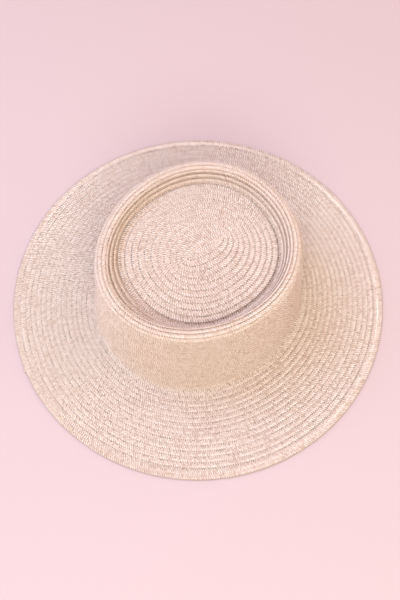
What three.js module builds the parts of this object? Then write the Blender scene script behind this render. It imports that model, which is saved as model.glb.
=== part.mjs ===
// Straw boater hat with a dished crown, sewn from one long spiral of flat straw braid.
// Millimetres, +Z up. The hat stands on its brim, and the origin is on the ground below
// the middle of the brim. Its front faces -Y, and the braid ends at the back of the brim.

import * as THREE from 'three';
import { mergeVertices } from 'three/addons/utils/BufferGeometryUtils.js';

// Driving sizes of the brim
const brimLength = 332;
const brimWidth = 330.4;
const edgeRowWidth = 7.6;
const edgeRowHeight = 2.9;
const edgeRounding = 1.1;

// Driving sizes of the crown, taken on its outside
const headLength = 187;
const headWidth = 174;
const ridgeLength = 155;
const ridgeWidth = 141;
const crownHeight = 105.5;
const shoulderRadius = 7;
const flareRadius = 4;

// Driving sizes of the dish pressed into the top
const tipLength = 125;
const tipWidth = 110;
const dishDepth = 15;
const dishSteepness = 57;
const dishRimRadius = 5;
const dishCornerRadius = 3;
const tipRise = 5;

// Thickness of the sewn braid, and the gap left between neighbouring pieces
const strawWall = 2;
const seamGap = 0.3;

// The cut end of the braid, which stands a little proud of the brim's edge
const braidEndAngle = 79.5;
const braidEndLength = 15;
const braidEndStand = 1.4;

// Facets round the hat
const facetsRound = 80;

// Each outline of the hat as seen from above. Fullness widens its front half and narrows
// its back half, squareness fills its four corners, and the shifts move it as shares of
// its own length.
const outlines = {
  brim: { length: brimLength, width: brimWidth, fullness: 0, squareness: 0, shiftX: 0, shiftY: 0 },
  head: {
    length: headLength, width: headWidth, fullness: 0, squareness: 0.1, shiftX: 0.004, shiftY: -0.004,
  },
  ridge: {
    length: ridgeLength, width: ridgeWidth, fullness: 0.065, squareness: 0.04, shiftX: -0.013, shiftY: 0.013,
  },
  tip: { length: tipLength, width: tipWidth, fullness: 0, squareness: 0.2, shiftX: -0.008, shiftY: -0.02 },
};

// How the domed middle of the tip rises, from its edge to near its centre
const domeRings = [
  { name: 'edge', share: 0.97 },
  { name: 'outer', share: 0.75 },
  { name: 'middle', share: 0.5 },
  { name: 'inner', share: 0.22 },
];

// How the braid end stands out along its length, as shares of its length and stand
const braidEndShape = [
  { name: 'start', along: 0, stand: 0 },
  { name: 'cut', along: 0.12, stand: 1 },
  { name: 'middle', along: 0.5, stand: 0.9 },
  { name: 'merge', along: 1, stand: 0 },
];

const fullTurn = 2 * Math.PI;
const straightUp = Math.PI / 2;

// A power of a sine or cosine that keeps its sign
function signedPower(value, power) {
  return Math.sign(value) * Math.abs(value) ** power;
}

// The point of an outline at an angle, and the direction that points straight out of it
function onOutline(outline, angle) {
  const power = 2 / (2 + outline.squareness);
  const place = (turn) => {
    const back = signedPower(Math.sin(turn), power);
    const side = signedPower(Math.cos(turn), power);
    return new THREE.Vector2(
      (outline.width / 2) * side * (1 - outline.fullness * back) + outline.shiftX * outline.length,
      (outline.length / 2) * back + outline.shiftY * outline.length,
    );
  };
  const halfStep = Math.PI / facetsRound;
  const along = place(angle + halfStep).sub(place(angle - halfStep)).normalize();
  return { point: place(angle), outward: new THREE.Vector2(along.y, -along.x) };
}

const evenAngles = Array.from({ length: facetsRound }, (_, facet) => (facet * fullTurn) / facetsRound);

// A closed loop of points that runs beside an outline, at a distance out of it and a height
function loopBeside(outline, out, height, angles = evenAngles) {
  return angles.map((angle) => {
    const { point, outward } = onOutline(outline, angle);
    const distance = typeof out === 'function' ? out(angle) : out;
    return new THREE.Vector3(point.x + distance * outward.x, point.y + distance * outward.y, height);
  });
}

// A loop a share of the way from one loop to another
function loopBetween(first, second, share) {
  return first.map((point, index) => point.clone().lerp(second[index], share));
}

// A loop shrunk towards a centre, at its own height
function shrunkLoop(loop, centre, share, height) {
  return loop.map((point) => new THREE.Vector3().lerpVectors(centre, point, share).setZ(height));
}

// Joins loops in order into a closed body. The ends are closed by the two poles, or the
// last loop joins the first where there are none.
function bodyFromLoops(loops, poles = []) {
  const around = loops[0].length;
  const points = loops.flat();
  const faces = [];
  const strips = poles.length ? loops.length - 1 : loops.length;
  for (let strip = 0; strip < strips; strip += 1) {
    const here = strip * around;
    const next = ((strip + 1) % loops.length) * around;
    for (let step = 0; step < around; step += 1) {
      const turn = (step + 1) % around;
      faces.push(here + step, next + step, next + turn);
      faces.push(here + step, next + turn, here + turn);
    }
  }
  if (poles.length) {
    const firstPole = points.length;
    const lastLoop = (loops.length - 1) * around;
    points.push(...poles);
    for (let step = 0; step < around; step += 1) {
      const turn = (step + 1) % around;
      faces.push(firstPole, step, turn);
      faces.push(firstPole + 1, lastLoop + turn, lastLoop + step);
    }
  }
  const geometry = new THREE.BufferGeometry();
  geometry.setAttribute(
    'position',
    new THREE.Float32BufferAttribute(points.flatMap((point) => point.toArray()), 3),
  );
  geometry.setIndex(faces);
  return mergeVertices(geometry, 1e-4);
}

// Stations of the crown's profile on an arc. A station holds its outline, its distance out
// of it, its height, and the lean of the surface from the level. Bulge is 1 where the arc
// swells out of the wall and -1 where it hollows it.
function arcStations({ outline, out, height, radius, bulge, fromLean, toLean, steps }) {
  return Array.from({ length: steps + 1 }, (_, step) => {
    const lean = fromLean + ((toLean - fromLean) * step) / steps;
    return {
      outline,
      out: out + bulge * radius * Math.cos(lean),
      height: height + bulge * radius * Math.sin(lean),
      lean,
    };
  });
}

// The loop of a station, sunk below the outer surface by a depth
function stationLoop(station, depth) {
  return loopBeside(
    station.outline,
    station.out - depth * Math.cos(station.lean),
    station.height - depth * Math.sin(station.lean),
  );
}

// Lean of the side of the crown, from the mean sizes of the head and the ridge
const sideRun = (headLength + headWidth - ridgeLength - ridgeWidth) / 4 - shoulderRadius;
const sideLean = Math.atan2(sideRun, crownHeight - shoulderRadius - strawWall);
const dishLean = Math.PI - (straightUp - THREE.MathUtils.degToRad(dishSteepness));
const flareReach = flareRadius * Math.tan((straightUp - sideLean) / 2);
const tipHeight = crownHeight - dishDepth;

// The ridge round the top: the rim of the dish up to the crest, then the shoulder that
// turns down into the side of the crown
const dishRim = arcStations({
  outline: outlines.ridge, out: 0, height: crownHeight - dishRimRadius, radius: dishRimRadius,
  bulge: 1, fromLean: dishLean, toLean: straightUp, steps: 4,
});
const shoulder = arcStations({
  outline: outlines.ridge, out: 0, height: crownHeight - shoulderRadius, radius: shoulderRadius,
  bulge: 1, fromLean: straightUp, toLean: sideLean, steps: 5,
});
const ridge = [...dishRim, ...shoulder.slice(1)];

// The flare by which the brim turns up into the side of the crown
const flare = arcStations({
  outline: outlines.head, out: flareReach, height: strawWall + flareRadius, radius: flareRadius,
  bulge: -1, fromLean: sideLean, toLean: straightUp, steps: 6,
});
const sideLength = (ridge.at(-1).height - flare[0].height) / Math.cos(sideLean);

// The crown: domed tip, dish wall, ridge and the tapered side, which ends at the flare
function crownGeometry() {
  const dishCorner = arcStations({
    outline: outlines.tip, out: 0, height: tipHeight + dishCornerRadius, radius: dishCornerRadius,
    bulge: -1, fromLean: straightUp, toLean: dishLean, steps: 3,
  });
  const wallSkin = (depth) => {
    const side = [stationLoop(ridge.at(-1), depth), stationLoop(flare[0], depth)];
    const sideShares = [0.25, 0.5, 0.75, 1 - seamGap / sideLength];
    return [
      ...dishCorner.map((station) => stationLoop(station, depth)),
      ...ridge.map((station) => stationLoop(station, depth)),
      ...sideShares.map((share) => loopBetween(side[0], side[1], share)),
    ];
  };
  const centre = new THREE.Vector3(
    outlines.tip.shiftX * tipLength,
    outlines.tip.shiftY * tipLength,
    tipHeight + tipRise,
  );
  const domeSkin = (depth) => domeRings.map(({ share }) => shrunkLoop(
    loopBeside(outlines.tip, 0, 0),
    centre,
    share,
    tipHeight + tipRise * (1 - share ** 2) - depth,
  )).reverse();
  const outside = [...domeSkin(0), ...wallSkin(0)];
  const inside = [...domeSkin(strawWall), ...wallSkin(strawWall)].reverse();
  const innerCentre = centre.clone().setZ(centre.z - strawWall);
  return bodyFromLoops([...outside, ...inside], [centre, innerCentre]);
}

// The brim: the flare and the flat ring from it to the edge row
function brimGeometry() {
  const outer = -(edgeRowWidth + seamGap);
  return bodyFromLoops([
    ...flare.map((station) => stationLoop(station, 0)),
    loopBeside(outlines.brim, outer, strawWall),
    loopBeside(outlines.brim, outer, 0),
    ...flare.map((station) => stationLoop(station, strawWall)).reverse(),
  ]);
}

// How far the braid end stands out of the edge at an angle round the brim
function braidEndStandAt(angle) {
  const start = THREE.MathUtils.degToRad(braidEndAngle);
  const along = ((angle - start) * brimLength) / 2 / braidEndLength;
  const next = braidEndShape.findIndex((row) => row.along > along);
  if (along < 0 || next < 1) {
    return 0;
  }
  const before = braidEndShape[next - 1];
  const after = braidEndShape[next];
  const share = (along - before.along) / (after.along - before.along);
  return braidEndStand * (before.stand + (after.stand - before.stand) * share);
}

// The edge row: the last round of braid, doubled and a little thicker, with its cut end
function edgeRowGeometry() {
  const start = THREE.MathUtils.degToRad(braidEndAngle);
  const endAngles = braidEndShape.map((row) => start + (row.along * braidEndLength * 2) / brimLength);
  const angles = [...evenAngles, ...endAngles].sort((first, second) => first - second);
  const beside = (out, height) => loopBeside(outlines.brim, out, height, angles);
  const standing = (inset) => (angle) => braidEndStandAt(angle) - inset;
  const rounding = Math.min(edgeRounding, edgeRowHeight / 2);
  const softened = rounding * (1 - Math.SQRT1_2);
  return bodyFromLoops([
    beside(-edgeRowWidth, 0),
    beside(-edgeRowWidth, edgeRowHeight - softened),
    beside(-edgeRowWidth + rounding, edgeRowHeight),
    beside(standing(rounding), edgeRowHeight),
    beside(standing(softened), edgeRowHeight - softened),
    beside(standing(0), edgeRowHeight - rounding),
    beside(standing(0), rounding),
    beside(standing(rounding), 0),
  ]);
}

function strawMaterial(color, roughness) {
  return new THREE.MeshStandardMaterial({ color, roughness, metalness: 0 });
}

function piece(name, geometry, material) {
  geometry.computeVertexNormals();
  const mesh = new THREE.Mesh(geometry, material);
  mesh.name = name;
  return mesh;
}

const group = new THREE.Group();
group.add(
  piece('crown', crownGeometry(), strawMaterial(0xead3c4, 0.72)),
  piece('brim', brimGeometry(), strawMaterial(0xecd8cc, 0.74)),
  piece('edge_row', edgeRowGeometry(), strawMaterial(0xe6cdbd, 0.7)),
);

export default group;
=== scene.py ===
"""Straw hat with a dished crown: one long plaited straw braid, sewn in a spiral."""
import math

import bpy
import numpy as np
from bpy.props import FloatProperty, FloatVectorProperty, IntProperty, PointerProperty
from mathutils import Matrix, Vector


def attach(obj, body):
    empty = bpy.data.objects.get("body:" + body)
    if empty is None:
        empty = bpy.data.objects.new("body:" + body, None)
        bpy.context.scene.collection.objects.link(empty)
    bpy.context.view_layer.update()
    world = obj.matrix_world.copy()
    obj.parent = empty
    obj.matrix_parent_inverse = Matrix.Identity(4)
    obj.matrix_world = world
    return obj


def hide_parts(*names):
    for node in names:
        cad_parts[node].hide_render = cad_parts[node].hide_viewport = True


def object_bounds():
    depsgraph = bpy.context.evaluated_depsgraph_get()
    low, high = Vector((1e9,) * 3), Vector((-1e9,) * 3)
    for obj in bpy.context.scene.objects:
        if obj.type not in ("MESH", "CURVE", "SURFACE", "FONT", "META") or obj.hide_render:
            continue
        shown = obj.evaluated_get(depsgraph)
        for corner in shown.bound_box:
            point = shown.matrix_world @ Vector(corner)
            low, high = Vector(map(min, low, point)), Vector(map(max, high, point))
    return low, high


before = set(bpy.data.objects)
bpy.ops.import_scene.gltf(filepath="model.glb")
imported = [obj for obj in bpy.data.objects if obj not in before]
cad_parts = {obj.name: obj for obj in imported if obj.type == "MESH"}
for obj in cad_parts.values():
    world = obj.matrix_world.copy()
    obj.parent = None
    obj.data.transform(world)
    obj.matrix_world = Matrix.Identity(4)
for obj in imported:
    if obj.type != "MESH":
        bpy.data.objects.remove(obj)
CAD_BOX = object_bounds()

bl_info = {
    "name": "Sewn Straw Hat",
    "version": (1, 0, 0),
    "blender": (4, 5, 0),
    "location": "3D View > Sidebar > Straw Hat",
    "description": "Sews a straw hat from one spiral of plaited braid and sets its stage",
    "category": "Add Mesh",
}

MM = 0.001
FULL_TURN = 2 * math.pi
CAD_LOW, CAD_HIGH = CAD_BOX

# Outlines of the hat from above. Fullness widens the front half and narrows the back half,
# squareness fills the corners, and the shifts are shares of the outline's own length.
OUTLINES = {
    "brim": {"fullness": 0.0, "squareness": 0.0, "shift_x": 0.0, "shift_y": 0.0},
    "head": {"fullness": 0.0, "squareness": 0.1, "shift_x": 0.004, "shift_y": -0.004},
    "ridge": {"fullness": 0.065, "squareness": 0.04, "shift_x": -0.013, "shift_y": 0.013},
    "tip": {"fullness": 0.0, "squareness": 0.2, "shift_x": -0.011, "shift_y": -0.008},
}

# Zones of the crown and brim from the middle of the tip outwards, with the rounds of braid
# sewn in each
ZONES = [
    {"name": "tip", "rounds": 11.0},
    {"name": "dish", "rounds": 3.0},
    {"name": "ridge", "rounds": 4.0},
    {"name": "side", "rounds": 20.0},
    {"name": "flare", "rounds": 1.5},
    {"name": "brim", "rounds": 13.5},
    {"name": "edge", "rounds": 1.5},
]

# The round at which the braid stops widening the brim and is sewn over itself, and the share
# of a round over which it climbs there
LAST_ROUND = 54.0
CLIMB = 1 / 40

# Where round the hat the braid begins and ends
BRAID_END_TURN = math.radians(79.5)

# Columns of the surface round the hat, and its loops in each kind of zone
COLUMNS = 720
TIP_LOOPS = 41
CORNER_LOOPS = 7
ARC_LOOPS = 13
WALL_LOOPS = 9

# Steps of turn and of rounds over which the surface's directions are read
OUTLINE_STEP = math.pi / 80
TURN_STEP = 0.01
ROUND_STEP = 0.05

# Added to a direction out of the surface, so that it has a length where the steps have none
UPWARDS = np.array([0, 0, 1e-9])

# Share of a round over which the distance between rounds is read, and the most of a round
# that half a strand may take up
REACH_STEP = 0.2
MOST_HALF_STRAND = 0.3

# Steps of a round in which the braid's route is first laid out
ROUTE_STEPS = 1440

# How much further inwards the braid reaches in its first round, and how much less painted shade its
# tucked side gets there and in the doubled last round
FIRST_OVERLAP = 0.35
FIRST_PALE = 0.5
DOUBLED_PALE = 0.4

# Pieces of braid, each with the rounds between which it runs, the part of the hat that it
# stands for, and its straw, one of the lit and shaded copies of one straw
PIECES = {
    "tip_braid": {"start": 0.0, "end": 11.0, "node": "crown", "straw": "crown"},
    "ridge_braid": {"start": 11.0, "end": 18.0, "node": "crown", "straw": "ridge"},
    "upper_side_braid": {"start": 18.0, "end": 28.0, "node": "crown", "straw": "crown"},
    "lower_side_braid": {"start": 28.0, "end": 38.0, "node": "crown", "straw": "crown"},
    "inner_brim_braid": {"start": 38.0, "end": 46.0, "node": "brim", "straw": "brim"},
    "outer_brim_braid": {"start": 46.0, "end": 53.0, "node": "brim", "straw": "brim"},
    "edge_braid": {"start": 53.0, "end": 55.0, "node": "edge_row", "straw": "edge"},
}


def length(name, default, text):
    return FloatProperty(name=name, description=text, default=default, unit="LENGTH", precision=5)


def angle(name, default, text):
    """An angle whose default is given in degrees."""
    return FloatProperty(
        name=name, description=text, default=math.radians(default), subtype="ANGLE"
    )


def factor(name, default, text, top=1.0):
    return FloatProperty(
        name=name, description=text, default=default, min=0, soft_max=top, subtype="FACTOR",
        precision=3,
    )


def colour(name, default, text):
    return FloatVectorProperty(
        name=name, description=text, default=default, subtype="COLOR", size=3, min=0, max=1
    )


class HatShape(bpy.types.PropertyGroup):
    """Sizes of the hat"""

    brim_length: length("Brim length", CAD_HIGH[1] - CAD_LOW[1], "Front to back over the brim")
    brim_width: length("Brim width", CAD_HIGH[0] - CAD_LOW[0], "Side to side over the brim")
    head_length: length("Head length", 187 * MM, "Front to back where the side meets the brim")
    head_width: length("Head width", 174 * MM, "Side to side where the side meets the brim")
    ridge_length: length("Ridge length", 155 * MM, "Front to back over the crest of the ridge")
    ridge_width: length("Ridge width", 141 * MM, "Side to side over the crest of the ridge")
    shoulder_radius: length("Shoulder radius", 7 * MM, "Roundness from the crest to the side")
    crown_height: length("Crown height", CAD_HIGH[2], "Height of the ridge's crest")
    flare_radius: length("Flare radius", 4 * MM, "Roundness where the side turns into the brim")
    tip_length: length("Tip length", 125 * MM, "Front to back over the floor of the dish")
    tip_width: length("Tip width", 118 * MM, "Side to side over the floor of the dish")
    dish_depth: length("Dish depth", 15 * MM, "From the crest down to the edge of the dish's floor")
    dish_rim: length("Dish rim", 5 * MM, "Roundness from the dish's wall to the crest")
    dish_corner: length("Dish corner", 3 * MM, "Roundness where the dish's wall meets its floor")
    dish_steepness: angle("Dish steepness", 57, "Slope of the dish's wall")
    tip_rise: length("Tip rise", 5 * MM, "How far the middle of the tip domes up")
    tip_start: length("Tip start", 15 * MM, "Half of the straight stretch at the spiral's start")
    start_forward: length("Start forward", 3.7 * MM, "How far before the tip's middle it starts")
    start_side: length("Start side", 1.3 * MM, "How far to the wearer's right it starts")
    edge_width: length("Edge width", 7.9 * MM, "Width of the last one and a half rounds")
    wall: length("Wall", 2 * MM, "Thickness of the sewn braid")


class BraidPlait(bpy.types.PropertyGroup):
    """Sizes of the braid and how it is sewn"""

    strands: IntProperty(name="Strands", description="Strands in the plait", default=3, min=2)
    plait_length: length("Plait length", 5.7 * MM, "In which a strand crosses and returns")
    steps: IntProperty(name="Steps", description="Steps in one plait length", default=8, min=6)
    strand_width: length("Strand width", 1.7 * MM, "Width of one strand")
    strand_thickness: length("Strand thickness", 0.75 * MM, "Thickness of one strand")
    crossing_lift: length("Crossing lift", 0.32 * MM, "How far a strand rises as it crosses over")
    round_overlap: factor("Round overlap", 1.33, "Braid width by the distance between rounds", 2)
    depth: length("Depth", 0.85 * MM, "From the hat's outer surface to the middle of the braid")
    shingle: length("Shingle", 0.5 * MM, "How far the outer side of a round lies above its middle")
    doubling: length("Doubling", 0.5 * MM, "How far the doubled last round lies above the others")
    end_length: length("End length", 15 * MM, "Stretch of the cut end that strays from the edge")
    end_stand: length("End stand", 1.4 * MM, "How far the cut end stands out of the edge")
    unevenness: length("Unevenness", 0.14 * MM, "How far hand sewing moves a strand out of place")
    seed: IntProperty(name="Seed", description="Seed of the unevenness", default=7)


class StrawFinish(bpy.types.PropertyGroup):
    """Colours and tones of the straw, with painted shade and lit and shaded copies of the straw"""

    # The four straws are lit and shaded copies of one straw: the brim's is lighter as painted
    # light, the crown's, ridge's and edge's darker as painted shade
    crown_straw: colour("Crown straw", (0.895, 0.79, 0.745), "Colour of the crown's straw")
    ridge_straw: colour("Ridge straw", (0.88, 0.77, 0.72), "Colour of the ridge's straw")
    brim_straw: colour("Brim straw", (0.98, 0.885, 0.845), "Colour of the brim's straw")
    edge_straw: colour("Edge straw", (0.90, 0.80, 0.76), "Colour of the edge's straw")
    # The dark straw serves both the straw's own darker stitches and flecks and the painted shade
    dark_straw: colour("Dark straw", (0.56, 0.38, 0.29), "Colour of the darkest straws")
    # Holes are painted shade: near-black where the straws part or dip deepest
    hole_shade_colour: colour("Hole colour", (0.05, 0.03, 0.02), "Colour of the holes between straws")
    roughness: factor("Roughness", 0.52, "Roughness of the straw")
    # Painted shade where a strand dips under another
    dip_shade: factor("Depth tone", 0.7, "How dark a strand turns where it dips under another")
    # Painted shade along a strand's two sides, between strands
    side_shade: factor("Side tone", 0.7, "How dark a strand is along its two sides")
    stitch_tone: factor("Stitch tone", 0.32, "How dark the darkest stitches are")
    fleck_tone: factor("Fleck tone", 0.4, "How dark the short flecks along a straw are")
    # Painted shade on the inner side of each round, where it is tucked under the round before it
    crown_joint_shade: factor("Crown joint", 0.38, "How dark the crown is where its rounds are tucked in")
    ridge_joint_shade: factor("Ridge joint", 0.65, "How dark the ridge is where its rounds are tucked in")
    brim_joint_shade: factor("Brim joint", 0.2, "How dark the brim is where its rounds are tucked in")
    edge_joint_shade: factor("Edge joint", 0.15, "How dark the edge is where its rounds are tucked in")
    # Strength of the painted shade of the holes
    hole_shade_strength: factor("Dark holes", 0.85, "How dark the small holes between the straws are")
    fibre_depth: length("Fibre depth", 0.05 * MM, "Depth of the fibres in a strand")


class HatStage(bpy.types.PropertyGroup):
    """Floor, sky and camera round the hat"""

    floor: colour("Floor", (0.56, 0.425, 0.44), "Colour of the floor")
    sky: colour("Sky", (1.0, 0.783, 0.56), "Colour of the light that comes from all sides")
    sky_strength: factor("Sky strength", 0.81, "Strength of the light that comes from all sides", 2)
    camera_distance: length("Camera distance", 0.748, "From the camera to the ground it looks at")
    camera_elevation: angle("Camera elevation", 67.08, "Above the horizon")
    camera_azimuth: angle("Camera azimuth", 233.66, "Round the hat, from its front")
    aim_right: length("Aim right", 1.66 * MM, "How far right of the hat's middle the camera looks")
    aim_near: length("Aim near", 3.71 * MM, "How far before the hat's middle the camera looks")
    lens: FloatProperty(name="Lens", description="Focal length in millimetres", default=49.6)


# Surface of the sewn braid


def outline_sizes(shape):
    return {
        "brim": (shape.brim_length, shape.brim_width),
        "head": (shape.head_length, shape.head_width),
        "ridge": (shape.ridge_length, shape.ridge_width),
        "tip": (shape.tip_length, shape.tip_width),
    }


def outline_loop(shape, name, turn, share=1.0, start=0.0):
    """Points of an outline at some turns, shrunk to a share towards a straight start."""
    long_side, wide_side = outline_sizes(shape)[name]
    form = OUTLINES[name]
    power = 2 / (2 + form["squareness"])
    back = np.sign(np.sin(turn)) * np.abs(np.sin(turn)) ** power
    side = np.sign(np.cos(turn)) * np.abs(np.cos(turn)) ** power
    half_long = start + (long_side / 2 - start) * share
    x = wide_side / 2 * share * side * (1 - form["fullness"] * back) + form["shift_x"] * long_side
    y = half_long * back + form["shift_y"] * long_side
    return np.stack([x, y], axis=-1)


def beside(shape, name, turn, out, height):
    """A loop beside an outline, at a distance out of it and a height."""
    after = outline_loop(shape, name, turn + OUTLINE_STEP)
    before = outline_loop(shape, name, turn - OUTLINE_STEP)
    along = after - before
    along /= np.linalg.norm(along, axis=-1, keepdims=True)
    outward = np.stack([along[:, 1], -along[:, 0]], axis=-1)
    points = outline_loop(shape, name, turn) + out * outward
    return np.column_stack([points, np.full(len(turn), height)])


def arc_loops(shape, name, turn, out, height, radius, leans):
    """Loops round an arc beside an outline, from its first lean to its last."""
    return [
        beside(shape, name, turn, out + radius * math.cos(lean), height + radius * math.sin(lean))
        for lean in leans
    ]


def wall_loops(first, last):
    """Loops in even steps from one loop to another."""
    return [first + (last - first) * share for share in np.linspace(0, 1, WALL_LOOPS)]


def zone_loops(shape, turn):
    """Loops of the outer surface, zone by zone from the middle of the tip outwards."""
    taper = (shape.head_length + shape.head_width - shape.ridge_length - shape.ridge_width) / 4
    taper -= shape.shoulder_radius
    side_lean = math.atan2(taper, shape.crown_height - shape.shoulder_radius - shape.wall)
    dish_lean = math.pi / 2 + shape.dish_steepness
    flare_reach = shape.flare_radius * math.tan((math.pi / 2 - side_lean) / 2)
    tip_height = shape.crown_height - shape.dish_depth
    tip = []
    for share in np.linspace(0, 1, TIP_LOOPS):
        points = outline_loop(shape, "tip", turn, share, shape.tip_start * (1 - share))
        points -= (1 - share) * np.array([shape.start_side, shape.start_forward])
        height = tip_height + shape.tip_rise * (1 - share**2)
        tip.append(np.column_stack([points, np.full(len(turn), height)]))
    dish = arc_loops(
        shape, "tip", turn, 0, tip_height + shape.dish_corner, -shape.dish_corner,
        np.linspace(math.pi / 2, dish_lean, CORNER_LOOPS),
    )
    rim = arc_loops(
        shape, "ridge", turn, 0, shape.crown_height - shape.dish_rim, shape.dish_rim,
        np.linspace(dish_lean, math.pi / 2, ARC_LOOPS),
    )
    shoulder = arc_loops(
        shape, "ridge", turn, 0, shape.crown_height - shape.shoulder_radius, shape.shoulder_radius,
        np.linspace(math.pi / 2, side_lean, ARC_LOOPS),
    )
    ridge = [*rim, *shoulder[1:]]
    flare = arc_loops(
        shape, "head", turn, flare_reach, shape.wall + shape.flare_radius, -shape.flare_radius,
        np.linspace(side_lean, math.pi / 2, ARC_LOOPS),
    )
    brim_end = beside(shape, "brim", turn, -shape.edge_width, shape.wall)
    brim_rim = beside(shape, "brim", turn, 0, shape.wall)
    return {
        "tip": tip,
        "dish": [tip[-1], *dish[1:], ridge[0]],
        "ridge": ridge,
        "side": wall_loops(ridge[-1], flare[0]),
        "flare": flare,
        "brim": wall_loops(flare[-1], brim_end),
        "edge": [brim_end, brim_rim, brim_rim + (brim_rim - brim_end)],
    }


class SewnSurface:
    """The surface that the braid is sewn to, read by turn round the hat and round of braid."""

    def __init__(self, shape):
        turn = np.arange(COLUMNS) / COLUMNS * FULL_TURN
        zones = zone_loops(shape, turn)
        loops, rounds, start = [], [], 0.0
        for zone in ZONES:
            here = np.array(zones[zone["name"]])
            steps = np.linalg.norm(np.diff(here, axis=0), axis=2).mean(axis=1)
            reach = np.concatenate([[0.0], np.cumsum(steps)])
            # The edge's last loop lies past the rim, for the outer side of the last round
            full = reach[1] if zone["name"] == "edge" else reach[-1]
            at = start + reach / full * zone["rounds"]
            first = 0 if not loops else 1
            loops.extend(here[first:])
            rounds.extend(at[first:])
            start += zone["rounds"]
        self.grid = np.array(loops)
        self.rounds = np.array(rounds)

    def at(self, turn, sewn):
        """Points of the surface at turns in radians and rounds of braid."""
        grid, rounds = self.grid, self.rounds
        sewn = np.clip(sewn, 0, rounds[-1])
        row = np.clip(np.searchsorted(rounds, sewn, side="right") - 1, 0, len(rounds) - 2)
        down = ((sewn - rounds[row]) / (rounds[row + 1] - rounds[row]))[:, None]
        place = (turn / FULL_TURN) % 1 * COLUMNS
        column = np.floor(place).astype(int) % COLUMNS
        after = (column + 1) % COLUMNS
        across = (place - np.floor(place))[:, None]
        upper = grid[row, column] * (1 - across) + grid[row, after] * across
        lower = grid[row + 1, column] * (1 - across) + grid[row + 1, after] * across
        return upper * (1 - down) + lower * down

    def across_middle(self, turn, sewn):
        """Points at rounds that may lie before the middle of the tip, on its other side."""
        return self.at(np.where(sewn < 0, math.pi - turn, turn), np.abs(sewn))

    def out_of(self, turn, sewn):
        """The direction out of the surface."""
        outer = self.across_middle(turn, sewn + ROUND_STEP)
        inner = self.across_middle(turn, sewn - ROUND_STEP)
        after = self.across_middle(turn + TURN_STEP, sewn)
        before = self.across_middle(turn - TURN_STEP, sewn)
        return unit(np.cross(outer - inner, after - before) + UPWARDS)


def unit(vectors):
    return vectors / np.linalg.norm(vectors, axis=1, keepdims=True)


def strand_reach(surface, plait, turn, sewn, side):
    """Rounds from the middle of the braid to its outermost strand, on its inner or outer side."""
    edge = plait.round_overlap / 2
    near = surface.across_middle(turn, sewn + side * (edge - REACH_STEP))
    far = surface.across_middle(turn, sewn + side * edge)
    pitch = np.linalg.norm(far - near, axis=1) / REACH_STEP
    return edge - np.minimum(plait.strand_width / 2 / pitch, MOST_HALF_STRAND)


def braid_route(surface, plait, start, end):
    """The middle line of a stretch of braid with its frame, in even steps of the plait."""
    turns = np.append(np.arange(start, end, 1 / ROUTE_STEPS), end)
    points = surface.at(BRAID_END_TURN + turns * FULL_TURN, np.minimum(turns, LAST_ROUND))
    run = np.concatenate([[0], np.cumsum(np.linalg.norm(np.diff(points, axis=0), axis=1))])
    step = plait.plait_length / plait.steps
    even = np.linspace(0, run[-1], int(round(run[-1] / step)) + 1)
    turns = np.interp(even, run, turns)
    sewn = np.minimum(turns, LAST_ROUND)
    turn = BRAID_END_TURN + turns * FULL_TURN
    doubled = np.clip((turns - LAST_ROUND) / CLIMB + 0.5, 0, 1)
    first = np.clip(2 - turns, 0, 1)
    rise = (doubled * plait.doubling - plait.depth)[:, None]
    inner_reach = strand_reach(surface, plait, turn, sewn, -1) * (1 + FIRST_OVERLAP * first)
    inner_at = sewn - inner_reach
    outer_at = sewn + strand_reach(surface, plait, turn, sewn, 1)
    inner_up, up, outer_up = (surface.out_of(turn, at) for at in (inner_at, sewn, outer_at))
    inner = surface.across_middle(turn, inner_at) + inner_up * rise
    middle = surface.at(turn, sewn) + up * rise
    outer = surface.across_middle(turn, outer_at) + outer_up * rise
    across = (outer - inner) / 2
    bend = (outer + inner) / 2 - middle
    if end > LAST_ROUND:
        loose = np.clip((even - even[-1]) / plait.end_length + 1, 0, 1) ** 2
        middle = middle + unit(across) * (loose * plait.end_stand)[:, None]
    return {
        "points": middle,
        "across": across,
        "bend": bend,
        "up": up,
        "tilt": (outer_up - inner_up) / 2,
        "phase": even / plait.plait_length,
        "tucked": (1 - DOUBLED_PALE * doubled) * (1 - FIRST_PALE * first),
    }


# Vectors that the braid's route carries: half of the way across the braid, how far its two
# sides bend off that way, the direction out of the surface, and half of how that turns
ROUTE_VECTORS = ("across", "bend", "up", "tilt")

# Numbers that it carries: where it is in the plait, and how strong the painted shade is on its
# inner side, where it is tucked under the round before it
ROUTE_NUMBERS = ("phase", "tucked")


def route_mesh(name, route):
    """A mesh of edges along a route, with the braid's frame as point attributes."""
    points = route["points"]
    ends = np.arange(len(points) - 1)
    edges = np.column_stack([ends, ends + 1])
    mesh = bpy.data.meshes.new(name)
    mesh.vertices.add(len(points))
    mesh.edges.add(len(edges))
    mesh.vertices.foreach_set("co", points.astype(np.float32).ravel())
    mesh.edges.foreach_set("vertices", edges.astype(np.int32).ravel())
    for key in ROUTE_VECTORS:
        attribute = mesh.attributes.new(key, "FLOAT_VECTOR", "POINT")
        attribute.data.foreach_set("vector", route[key].astype(np.float32).ravel())
    for key in ROUTE_NUMBERS:
        attribute = mesh.attributes.new(key, "FLOAT", "POINT")
        attribute.data.foreach_set("value", route[key].astype(np.float32))
    mesh.update()
    return mesh


# Plait built by Geometry Nodes


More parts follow.
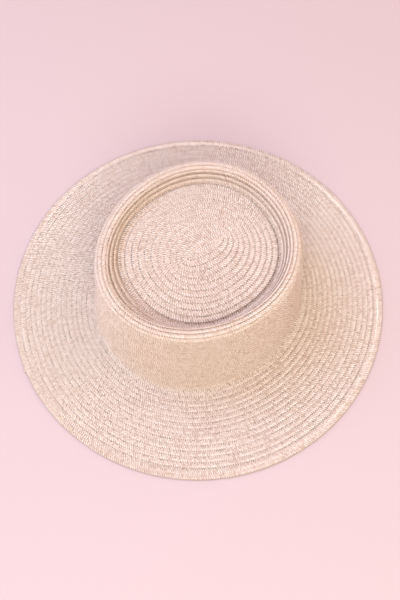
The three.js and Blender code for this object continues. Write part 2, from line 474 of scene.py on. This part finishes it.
class Tree:
    """Short calls for adding and linking the nodes of a tree."""

    def __init__(self, tree):
        self.tree = tree

    def add(self, kind, inputs=None, **settings):
        node = self.tree.nodes.new(kind)
        for key, value in settings.items():
            setattr(node, key, value)
        for key, value in (inputs or {}).items():
            socket = node.inputs[key]
            if isinstance(value, bpy.types.NodeSocket):
                self.tree.links.new(value, socket)
            else:
                socket.default_value = value
        return node

    def math(self, operation, first, second=0.0, third=0.0):
        kind = "ShaderNodeMath"
        return self.add(kind, {0: first, 1: second, 2: third}, operation=operation).outputs[0]

    def scaled(self, vector, scale):
        node = self.add("ShaderNodeVectorMath", {0: vector, "Scale": scale}, operation="SCALE")
        return node.outputs[0]

    def summed(self, first, second):
        return self.add("ShaderNodeVectorMath", {0: first, 1: second}, operation="ADD").outputs[0]

    def ranged(self, value, low, high):
        """0 to 1 as a value goes from low to high, and no further."""
        inputs = {"Value": value, "From Min": low, "From Max": high}
        return self.add("ShaderNodeMapRange", inputs).outputs[0]

    def mixed(self, share, first, second):
        """A mix of two colours, which the node keeps in inputs 6 and 7 and output 2."""
        inputs = {0: share, 6: first, 7: second}
        return self.add("ShaderNodeMix", inputs, data_type="RGBA").outputs[2]

    def stored(self, geometry, name, value):
        kind = "GeometryNodeStoreNamedAttribute"
        inputs = {"Geometry": geometry, "Name": name, "Value": value}
        return self.add(kind, inputs, data_type="FLOAT", domain="POINT").outputs[0]

    def attribute(self, name, kind):
        node = self.add("GeometryNodeInputNamedAttribute", {"Name": name}, data_type=kind)
        return node.outputs["Attribute"]


# Grain of the noise that moves the strands, and its steps from one strand to the next
STRAY_GRAIN = 420.0
STRAY_SHIFT = 13.7

# The noise stays within about a quarter of its range either way, so it is stretched
STRAY_GAIN = 4.0

# How far apart in plaits the strands' fibres and flecks are taken
STRAND_SHIFT = 31.0

# How far over to the inner side of the braid its tucked part, which takes painted shade, begins and
# is in full
TUCK_SHADE_SPAN = (-0.45, -0.8)

# Size of a triangle of unit radius, the section of a strand
TRIANGLE_WIDTH = math.sqrt(3)
TRIANGLE_HEIGHT = 1.5

PLAIT_INPUTS = [
    ("Strands", "NodeSocketInt", "strands"),
    ("Strand Width", "NodeSocketFloat", "strand_width"),
    ("Strand Thickness", "NodeSocketFloat", "strand_thickness"),
    ("Crossing Lift", "NodeSocketFloat", "crossing_lift"),
    ("Shingle", "NodeSocketFloat", "shingle"),
    ("Unevenness", "NodeSocketFloat", "unevenness"),
    ("Seed", "NodeSocketInt", "seed"),
]


def plait_tree():
    """Plaits strands along a route: each swings across the braid and rises where it crosses."""
    name = "Straw plait"
    if name in bpy.data.node_groups:
        return bpy.data.node_groups[name]
    tree = bpy.data.node_groups.new(name, "GeometryNodeTree")
    tree.interface.new_socket("Geometry", in_out="INPUT", socket_type="NodeSocketGeometry")
    for label, kind, _ in PLAIT_INPUTS:
        tree.interface.new_socket(label, in_out="INPUT", socket_type=kind)
    tree.interface.new_socket("Straw", in_out="INPUT", socket_type="NodeSocketMaterial")
    tree.interface.new_socket("Geometry", in_out="OUTPUT", socket_type="NodeSocketGeometry")
    t = Tree(tree)
    given = t.add("NodeGroupInput").outputs
    curve = t.add("GeometryNodeMeshToCurve", {"Mesh": given["Geometry"]}).outputs["Curve"]
    copies = t.add(
        "GeometryNodeDuplicateElements", {"Geometry": curve, "Amount": given["Strands"]},
        domain="SPLINE",
    )
    index = copies.outputs["Duplicate Index"]
    lag = t.math("DIVIDE", index, given["Strands"])
    phase = t.math("ADD", t.attribute("phase", "FLOAT"), lag)
    plait_turn = t.math("MULTIPLY", phase, FULL_TURN)
    swing = t.math("SINE", plait_turn)
    crossing = t.math("SINE", t.math("MULTIPLY", plait_turn, 2.0))
    place = t.add("GeometryNodeInputPosition").outputs[0]
    seed = t.math("MULTIPLY_ADD", index, STRAY_SHIFT, given["Seed"])
    noise = t.add(
        "ShaderNodeTexNoise", {"Vector": place, "W": seed, "Scale": STRAY_GRAIN, "Detail": 1.0},
        noise_dimensions="4D",
    )
    stray = t.summed(noise.outputs["Color"], (-0.5, -0.5, -0.5))
    stray = t.scaled(stray, t.math("MULTIPLY", given["Unevenness"], STRAY_GAIN))
    lift = t.math("MULTIPLY", crossing, given["Crossing Lift"])
    across, bend, up, tilt = (t.attribute(key, "FLOAT_VECTOR") for key in ROUTE_VECTORS)
    lift = t.math("MULTIPLY_ADD", swing, given["Shingle"], lift)
    facing = t.summed(up, t.scaled(tilt, swing))
    sideways = t.scaled(t.summed(across, t.scaled(bend, swing)), swing)
    offset = t.summed(t.summed(sideways, t.scaled(facing, lift)), stray)
    moved = t.add(
        "GeometryNodeSetPosition", {"Geometry": copies.outputs["Geometry"], "Offset": offset}
    ).outputs[0]
    turned = t.add(
        "GeometryNodeSetCurveNormal", {"Curve": moved, "Normal": facing}, mode="FREE"
    ).outputs[0]
    section = t.add("GeometryNodeCurvePrimitiveCircle", {"Resolution": 3, "Radius": 1.0}).outputs[0]
    corner = t.add("ShaderNodeSeparateXYZ", {0: t.add("GeometryNodeInputPosition").outputs[0]})
    width_share = t.math("MULTIPLY_ADD", corner.outputs["Y"], 1 / TRIANGLE_WIDTH, 0.5)
    section = t.stored(section, "width_share", width_share)
    height_share = t.math("MULTIPLY_ADD", corner.outputs["X"], 1 / TRIANGLE_HEIGHT, 1 / 3)
    section = t.stored(section, "height_share", height_share)
    flat = t.add(
        "ShaderNodeCombineXYZ",
        {
            "X": t.math("DIVIDE", given["Strand Thickness"], TRIANGLE_HEIGHT),
            "Y": t.math("DIVIDE", given["Strand Width"], TRIANGLE_WIDTH),
            "Z": 1.0,
        },
    ).outputs[0]
    section = t.add("GeometryNodeTransform", {"Geometry": section, "Scale": flat}).outputs[0]
    # Each stitch on the face of the braid is half a plait length of one strand
    stitch = t.math("FLOOR", t.math("MULTIPLY_ADD", phase, 2.0, 0.25))
    draw = t.add("ShaderNodeCombineXYZ", {"X": stitch, "Y": index, "Z": given["Seed"]})
    tone = t.add("ShaderNodeTexWhiteNoise", {"Vector": draw.outputs[0]}).outputs["Value"]
    kept = t.stored(t.stored(turned, "tone", tone), "crossing", crossing)
    kept = t.stored(kept, "plaits", t.math("MULTIPLY_ADD", index, STRAND_SHIFT, phase))
    # Painted shade on the inner side of the braid, where it is tucked under the round before it
    joint_shade = t.math("MULTIPLY", t.ranged(swing, *TUCK_SHADE_SPAN), t.attribute("tucked", "FLOAT"))
    kept = t.stored(kept, "joint_shade", joint_shade)
    strands = t.add(
        "GeometryNodeCurveToMesh", {"Curve": kept, "Profile Curve": section, "Fill Caps": True}
    ).outputs[0]
    smooth = t.add("GeometryNodeSetShadeSmooth", {"Geometry": strands}).outputs[0]
    real = t.add("GeometryNodeRealizeInstances", {"Geometry": smooth}).outputs[0]
    done = t.add("GeometryNodeSetMaterial", {"Geometry": real, "Material": given["Straw"]})
    out = t.add("NodeGroupOutput")
    tree.links.new(done.outputs[0], out.inputs["Geometry"])
    return tree


def plaited(name, mesh, plait, material):
    """The plait along a route as a plain mesh object."""
    scene = bpy.context.scene
    route = bpy.data.objects.new(name + "_route", mesh)
    scene.collection.objects.link(route)
    modifier = route.modifiers.new("Plait", "NODES")
    modifier.node_group = plait_tree()
    sockets = {
        item.name: item.identifier
        for item in modifier.node_group.interface.items_tree
        if item.in_out == "INPUT"
    }
    for label, _, key in PLAIT_INPUTS:
        modifier[sockets[label]] = getattr(plait, key)
    modifier[sockets["Straw"]] = material
    graph = bpy.context.evaluated_depsgraph_get()
    made = bpy.data.meshes.new_from_object(route.evaluated_get(graph), depsgraph=graph)
    bpy.data.objects.remove(route)
    if not made.polygons:
        raise RuntimeError("No straw was made for " + name)
    made.name = name
    for key in (*ROUTE_VECTORS, *ROUTE_NUMBERS):
        if key in made.attributes:
            made.attributes.remove(made.attributes[key])
    piece = bpy.data.objects.new(name, made)
    scene.collection.objects.link(piece)
    return piece


# Materials

STRAW_INPUTS = [
    ("Straw", "NodeSocketColor", (0.9, 0.75, 0.65, 1)),
    ("Dark Straw And Shade", "NodeSocketColor", (0.5, 0.35, 0.25, 1)),
    ("Roughness", "NodeSocketFloat", 0.6),
    ("Dip Shade", "NodeSocketFloat", 0.8),
    ("Side Shade", "NodeSocketFloat", 0.5),
    ("Stitch Tone", "NodeSocketFloat", 0.5),
    ("Fleck Tone", "NodeSocketFloat", 0.5),
    ("Joint Shade", "NodeSocketFloat", 0.4),
    ("Hole Shade Strength", "NodeSocketFloat", 0.8),
    ("Hole Shade Color", "NodeSocketColor", (0.05, 0.03, 0.02, 1)),
]

# Fibres across a strand, the grain of their noise, and how far they change its tone and gloss
FIBRES = 8.0
FIBRE_GRAIN = 2.6
FIBRE_TONE = 0.5
FIBRE_GLOSS = 0.3

# Share of a strand's height at which its outer side begins
OUTSIDE = (0.0, 0.07)

# Heights in the plait between which a strand takes painted shade as it dips, and turns into a
# painted hole of shade
DIP_SHADE_SPAN = (0.9, -0.4)
HOLE_SHADE_SPAN = (-0.45, -0.95)

# How far from its middle a strand takes painted shade towards its sides, between strands
SIDE_SHADE_SPAN = (0.35, 0.95)

# Flecks in a plait length, and the heights of their noise that show
FLECKS = 5.0
FLECK_HEIGHTS = (0.5, 0.72)

# The higher, the fewer of the stitches are dark
STITCH_POWER = 3.0


def straw_group():
    """Colour, roughness and fibres of plaited straw, with painted shade of its dips, sides, tucked
    joints and holes, from the attributes of its strands.
    """
    name = "Plaited straw"
    if name in bpy.data.node_groups:
        return bpy.data.node_groups[name]
    tree = bpy.data.node_groups.new(name, "ShaderNodeTree")
    for label, kind, value in STRAW_INPUTS:
        tree.interface.new_socket(label, in_out="INPUT", socket_type=kind).default_value = value
    for label, kind in (("Color", "Color"), ("Roughness", "Float"), ("Height", "Float")):
        tree.interface.new_socket(label, in_out="OUTPUT", socket_type="NodeSocket" + kind)
    t = Tree(tree)
    given = t.add("NodeGroupInput").outputs
    tone, crossing, plaits, width_share, height_share, joint_shade = (
        t.add("ShaderNodeAttribute", attribute_name=key).outputs["Fac"]
        for key in ("tone", "crossing", "plaits", "width_share", "height_share", "joint_shade")
    )
    # On the inside of the hat, the strand that dips on the outside is the one on top, so the
    # painted dip shade is turned round there and the painted joint shade is left off
    outside = t.ranged(height_share, *OUTSIDE)
    crossing = t.math("MULTIPLY", crossing, t.math("MULTIPLY_ADD", outside, 2.0, -1.0))
    joint_shade = t.math("MULTIPLY", joint_shade, outside)
    # Long fibres: noise that is drawn out along the strand
    ribs = t.math("MULTIPLY", width_share, FIBRES)
    place = t.add("ShaderNodeCombineXYZ", {"X": plaits, "Y": ribs}).outputs[0]
    fibre = t.add("ShaderNodeTexNoise", {"Vector": place, "Scale": FIBRE_GRAIN, "Detail": 3.0})
    fibre = fibre.outputs["Fac"]
    # Painted shade where a strand dips under another
    shade = t.math("MULTIPLY", t.ranged(crossing, *DIP_SHADE_SPAN), given["Dip Shade"])
    shade = t.math("MULTIPLY_ADD", t.math("POWER", tone, STITCH_POWER), given["Stitch Tone"], shade)
    shade = t.math("MULTIPLY_ADD", t.math("SUBTRACT", fibre, 0.5), FIBRE_TONE, shade)
    # Painted shade along a strand's two sides, between strands
    side = t.math("ABSOLUTE", t.math("MULTIPLY_ADD", width_share, 2.0, -1.0))
    shade = t.math("MULTIPLY_ADD", t.ranged(side, *SIDE_SHADE_SPAN), given["Side Shade"], shade)
    # The inner side of each round lies in the shade of the round before it
    shade = t.math("MULTIPLY_ADD", joint_shade, given["Joint Shade"], shade)
    # Flecks: short stretches of a strand that are darker
    run = t.math("MULTIPLY", plaits, FLECKS)
    inputs = {"W": run, "Detail": 0.0, "Scale": 1.0}
    fleck = t.add("ShaderNodeTexNoise", inputs, noise_dimensions="1D")
    fleck = t.ranged(fleck.outputs["Fac"], *FLECK_HEIGHTS)
    shade = t.math("MULTIPLY_ADD", fleck, given["Fleck Tone"], shade)
    shade = t.add("ShaderNodeClamp", {"Value": shade}).outputs[0]
    # Holes: painted shade, near-black where a fleck meets a joint and where a strand dips deepest
    hole_shade = t.math("MAXIMUM", t.math("MULTIPLY", fleck, joint_shade), t.ranged(crossing, *HOLE_SHADE_SPAN))
    hole_shade = t.math("MULTIPLY", hole_shade, given["Hole Shade Strength"])
    # Mix towards the dark straw by the straw's own darker tones and the painted shade, then towards
    # the painted holes
    mix = t.mixed(shade, given["Straw"], given["Dark Straw And Shade"])
    mix = t.mixed(hole_shade, mix, given["Hole Shade Color"])
    smoothest = t.math("SUBTRACT", given["Roughness"], FIBRE_GLOSS / 2)
    roughness = t.math("MULTIPLY_ADD", fibre, FIBRE_GLOSS, smoothest)
    out = t.add("NodeGroupOutput")
    tree.links.new(mix, out.inputs["Color"])
    tree.links.new(roughness, out.inputs["Roughness"])
    tree.links.new(fibre, out.inputs["Height"])
    return tree


def straw_material(finish, kind):
    """The straw of one kind of piece: crown, ridge, brim or edge, each a copy of one straw with
    painted light or shade.
    """
    name = "plaited_" + kind + "_straw"
    if name in bpy.data.materials:
        return bpy.data.materials[name]
    material = bpy.data.materials.new(name)
    material.use_nodes = True
    material.node_tree.nodes.clear()
    t = Tree(material.node_tree)
    straw = t.add("ShaderNodeGroup", node_tree=straw_group())
    straw.inputs["Straw"].default_value = (*getattr(finish, kind + "_straw"), 1)
    straw.inputs["Dark Straw And Shade"].default_value = (*finish.dark_straw, 1)
    straw.inputs["Roughness"].default_value = finish.roughness
    straw.inputs["Dip Shade"].default_value = finish.dip_shade
    straw.inputs["Side Shade"].default_value = finish.side_shade
    straw.inputs["Stitch Tone"].default_value = finish.stitch_tone
    straw.inputs["Fleck Tone"].default_value = finish.fleck_tone
    straw.inputs["Joint Shade"].default_value = getattr(finish, kind + "_joint_shade")
    straw.inputs["Hole Shade Strength"].default_value = finish.hole_shade_strength
    straw.inputs["Hole Shade Color"].default_value = (*finish.hole_shade_colour, 1)
    bump = t.add(
        "ShaderNodeBump", {"Height": straw.outputs["Height"], "Distance": finish.fibre_depth}
    )
    shader = t.add(
        "ShaderNodeBsdfPrincipled",
        {
            "Base Color": straw.outputs["Color"],
            "Roughness": straw.outputs["Roughness"],
            "Normal": bump.outputs["Normal"],
        },
    )
    out = t.add("ShaderNodeOutputMaterial")
    t.tree.links.new(shader.outputs[0], out.inputs["Surface"])
    return material


FLOOR_ROUGHNESS = 0.9


def floor_material(stage):
    material = bpy.data.materials.new("Pale floor")
    material.use_nodes = True
    shader = material.node_tree.nodes["Principled BSDF"]
    shader.inputs["Base Color"].default_value = (*stage.floor, 1)
    shader.inputs["Roughness"].default_value = FLOOR_ROUGHNESS
    return material


# Operators


def sew(name):
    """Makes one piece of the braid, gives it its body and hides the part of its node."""
    scene = bpy.context.scene
    shape, plait, finish = scene.hat_shape, scene.hat_plait, scene.hat_finish
    row = PIECES[name]
    surface = SewnSurface(shape)
    route = braid_route(surface, plait, row["start"], row["end"])
    piece = plaited(name, route_mesh(name, route), plait, straw_material(finish, row["straw"]))
    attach(piece, "root")
    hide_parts(row["node"])


class HAT_OT_sew_crown(bpy.types.Operator):
    """Sew the tip, the dish, the ridge and the side of the crown"""

    bl_idname = "hat.sew_crown"
    bl_label = "Sew Crown"

    def execute(self, context):
        for name in ("tip_braid", "ridge_braid", "upper_side_braid", "lower_side_braid"):
            sew(name)
        return {"FINISHED"}


class HAT_OT_sew_brim(bpy.types.Operator):
    """Sew the flare and the brim"""

    bl_idname = "hat.sew_brim"
    bl_label = "Sew Brim"

    def execute(self, context):
        for name in ("inner_brim_braid", "outer_brim_braid"):
            sew(name)
        return {"FINISHED"}


class HAT_OT_sew_edge(bpy.types.Operator):
    """Sew the last round of the brim and leave its cut end"""

    bl_idname = "hat.sew_edge"
    bl_label = "Sew Edge"

    def execute(self, context):
        sew("edge_braid")
        return {"FINISHED"}


# Lights round the hat: how far to the right of it, away from the camera and up they hang, in
# metres, their power in watts and their colour
LIGHTS = {
    "window light": {
        "right": -0.75, "away": 0.2, "up": 1.5, "power": 20.1, "colour": (0.467, 0.612, 1.0),
    },
    "fill light": {
        "right": 0.0, "away": -1.15, "up": 1.28, "power": 21.5, "colour": (0.893, 1.0, 0.953),
    },
    "side light": {
        "right": 1.0, "away": 0.0, "up": 1.4, "power": 6.0, "colour": (1.0, 0.82, 0.8),
    },
}
LIGHT_SIZE = 1.0
FLOOR_SIZE = 6.0


def area_light(name, place, power, light_colour):
    """A square light that looks at the middle of the hat's foot."""
    light = bpy.data.lights.new(name, "AREA")
    light.shape = "SQUARE"
    light.size = LIGHT_SIZE
    light.energy = power
    light.color = light_colour
    lamp = bpy.data.objects.new(name, light)
    lamp.location = place
    lamp.rotation_euler = (-place).to_track_quat("-Z", "Y").to_euler()
    bpy.context.scene.collection.objects.link(lamp)


class HAT_OT_set_stage(bpy.types.Operator):
    """Set the floor, the lights and the camera round the hat"""

    bl_idname = "hat.set_stage"
    bl_label = "Set Stage"

    def execute(self, context):
        scene = context.scene
        stage = scene.hat_stage
        half = FLOOR_SIZE / 2
        corners = [(-half, -half, 0), (half, -half, 0), (half, half, 0), (-half, half, 0)]
        mesh = bpy.data.meshes.new("floor")
        mesh.from_pydata(corners, [], [(0, 1, 2, 3)])
        mesh.materials.append(floor_material(stage))
        floor = bpy.data.objects.new("floor", mesh)
        scene.collection.objects.link(floor)

        azimuth = stage.camera_azimuth
        away = Vector((-math.sin(azimuth), math.cos(azimuth), 0))
        right = Vector((math.cos(azimuth), math.sin(azimuth), 0))
        aim = right * stage.aim_right - away * stage.aim_near
        back = -away * math.cos(stage.camera_elevation)
        back.z = math.sin(stage.camera_elevation)
        camera = bpy.data.objects.new("camera", bpy.data.cameras.new("camera"))
        camera.data.lens = stage.lens
        camera.location = aim + back * stage.camera_distance
        camera.rotation_euler = (-back).to_track_quat("-Z", "Y").to_euler()
        scene.collection.objects.link(camera)
        scene.camera = camera

        for name, light in LIGHTS.items():
            place = right * light["right"] + away * light["away"] + Vector((0, 0, light["up"]))
            area_light(name, place, light["power"], light["colour"])

        world = bpy.data.worlds.new("studio")
        world.use_nodes = True
        sky = world.node_tree.nodes["Background"]
        sky.inputs["Color"].default_value = (*stage.sky, 1)
        sky.inputs["Strength"].default_value = stage.sky_strength
        scene.world = world
        scene.view_settings.view_transform = "Standard"
        return {"FINISHED"}


class HAT_PT_panel(bpy.types.Panel):
    """Sizes, finish and making of the straw hat"""

    bl_idname = "HAT_PT_panel"
    bl_label = "Straw Hat"
    bl_space_type = "VIEW_3D"
    bl_region_type = "UI"
    bl_category = "Straw Hat"

    def draw(self, context):
        scene = context.scene
        for name, kind in GROUPS.items():
            column = self.layout.column(align=True)
            for key in kind.__annotations__:
                column.prop(getattr(scene, name), key)
        for operator in OPERATORS:
            self.layout.operator(operator.bl_idname)


GROUPS = {
    "hat_shape": HatShape,
    "hat_plait": BraidPlait,
    "hat_finish": StrawFinish,
    "hat_stage": HatStage,
}
OPERATORS = (HAT_OT_set_stage, HAT_OT_sew_crown, HAT_OT_sew_brim, HAT_OT_sew_edge)


def register():
    for name, group in GROUPS.items():
        bpy.utils.register_class(group)
        setattr(bpy.types.Scene, name, PointerProperty(type=group))
    for kind in (*OPERATORS, HAT_PT_panel):
        bpy.utils.register_class(kind)


def unregister():
    for kind in (HAT_PT_panel, *reversed(OPERATORS)):
        bpy.utils.unregister_class(kind)
    for name, group in reversed(GROUPS.items()):
        delattr(bpy.types.Scene, name)
        bpy.utils.unregister_class(group)


def main():
    register()
    bpy.ops.hat.set_stage()
    bpy.ops.hat.sew_crown()
    bpy.ops.hat.sew_brim()
    bpy.ops.hat.sew_edge()


if __name__ == "__main__":
    main()
